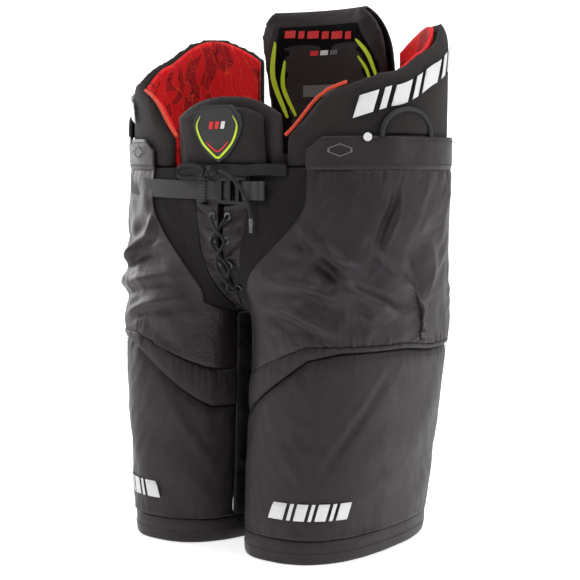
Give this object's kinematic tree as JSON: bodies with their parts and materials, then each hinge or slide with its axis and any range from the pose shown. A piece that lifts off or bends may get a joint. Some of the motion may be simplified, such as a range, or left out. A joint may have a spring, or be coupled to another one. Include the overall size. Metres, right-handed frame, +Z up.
{
  "type": "ice hockey pants",
  "caption": "Padded black ice hockey pants with raised hip, belly and spine pads, laced fly, belt and two stiff thigh legs.",
  "frame": {"origin": "middle of the base, on the plane of the hems", "axes": "+Z up towards the waist, +X towards the wearer's left, -Y towards the front"},
  "size_m": [0.398, 0.2638, 0.6028],
  "materials": {
    "nylon": "matte woven",
    "gloss_nylon": "satin woven",
    "knit": "matte knit",
    "red_lining": "satin lining",
    "foam": "covered foam",
    "mesh": "open mesh",
    "webbing": "ribbed webbing",
    "lace": "round braid",
    "piping": "matte",
    "rubber": "moulded",
    "plastic": "satin",
    "white_plastic": "satin",
    "metal": "satin"
  },
  "bodies": {
    "waist": {"right_crotch_panel": "gloss_nylon", "right_upper_shell": "nylon", "right_seat_panel": "nylon", "right_fly_panel": "gloss_nylon", "right_mesh_panel": "mesh", "right_hip_pad": "knit", "right_hip_liner": "red_lining", "right_hip_cap": "rubber", "right_hip_piping": "piping", "right_waist_flap": "nylon", "right_suspender_button": "white_plastic", "right_eyelet_1": "metal", "right_eyelet_2": "metal", "right_eyelet_3": "metal", "right_eyelet_4": "metal", "left_crotch_panel": "gloss_nylon", "left_upper_shell": "nylon", "left_seat_panel": "nylon", "left_fly_panel": "gloss_nylon", "left_mesh_panel": "mesh", "left_hip_pad": "knit", "left_hip_liner": "red_lining", "left_hip_cap": "rubber", "left_hip_piping": "piping", "left_waist_flap": "nylon", "left_suspender_button": "white_plastic", "left_eyelet_1": "metal", "left_eyelet_2": "metal", "left_eyelet_3": "metal", "left_eyelet_4": "metal", "waist_facing": "nylon", "crotch_tape": "nylon", "belly_pad": "knit", "belly_back_pad": "foam", "shield_badge": "rubber", "tail_pad": "foam", "fly_lace": "lace", "belt_anchor": "webbing", "waist_tape": "webbing", "belt_keeper": "webbing", "bow_knot": "webbing", "bow_loop": "webbing", "lace_tail": "lace", "aglet": "metal"},
    "right_leg": {"right_thigh_cover": "nylon", "right_leg_yoke": "nylon", "right_thigh_guard": "foam", "right_rear_leg_panel": "nylon", "right_inner_leg_panel": "gloss_nylon", "right_hem_binding": "nylon"},
    "left_leg": {"left_thigh_cover": "nylon", "left_leg_yoke": "nylon", "left_thigh_guard": "foam", "left_rear_leg_panel": "nylon", "left_inner_leg_panel": "gloss_nylon", "left_hem_binding": "nylon"},
    "spine": {"spine_pad": "foam", "spine_cover": "nylon"},
    "buckle": {"buckle": "plastic"},
    "belt_tail": {"belt_tail": "webbing"}
  },
  "joints": [
    {"name": "right_leg_swing", "type": "hinge", "parent": "waist", "child": "right_leg", "pos_m": [-0.092, 0.0049, 0.28], "axis": [-1, 0, 0], "range_deg": [-10, 20], "deforming": ["right_upper_shell", "right_seat_panel", "right_crotch_panel"]},
    {"name": "left_leg_swing", "type": "hinge", "parent": "waist", "child": "left_leg", "pos_m": [0.092, 0.0049, 0.28], "axis": [-1, 0, 0], "range_deg": [-10, 20], "deforming": ["left_upper_shell", "left_seat_panel", "left_crotch_panel"]},
    {"name": "spine_pad_flex", "type": "hinge", "parent": "waist", "child": "spine", "pos_m": [0, 0.1209, 0.4165], "axis": [-1, 0, 0], "range_deg": [-6, 12]},
    {"name": "buckle_tilt", "type": "hinge", "parent": "waist", "child": "buckle", "pos_m": [0.036, -0.11695, 0.393], "axis": [0, 0, 1], "range_deg": [0, 25]},
    {"name": "belt_tail_slide", "type": "slide", "parent": "waist", "child": "belt_tail", "axis": [-1, 0, 0], "range_m": [0, 0.014]}
  ]
}
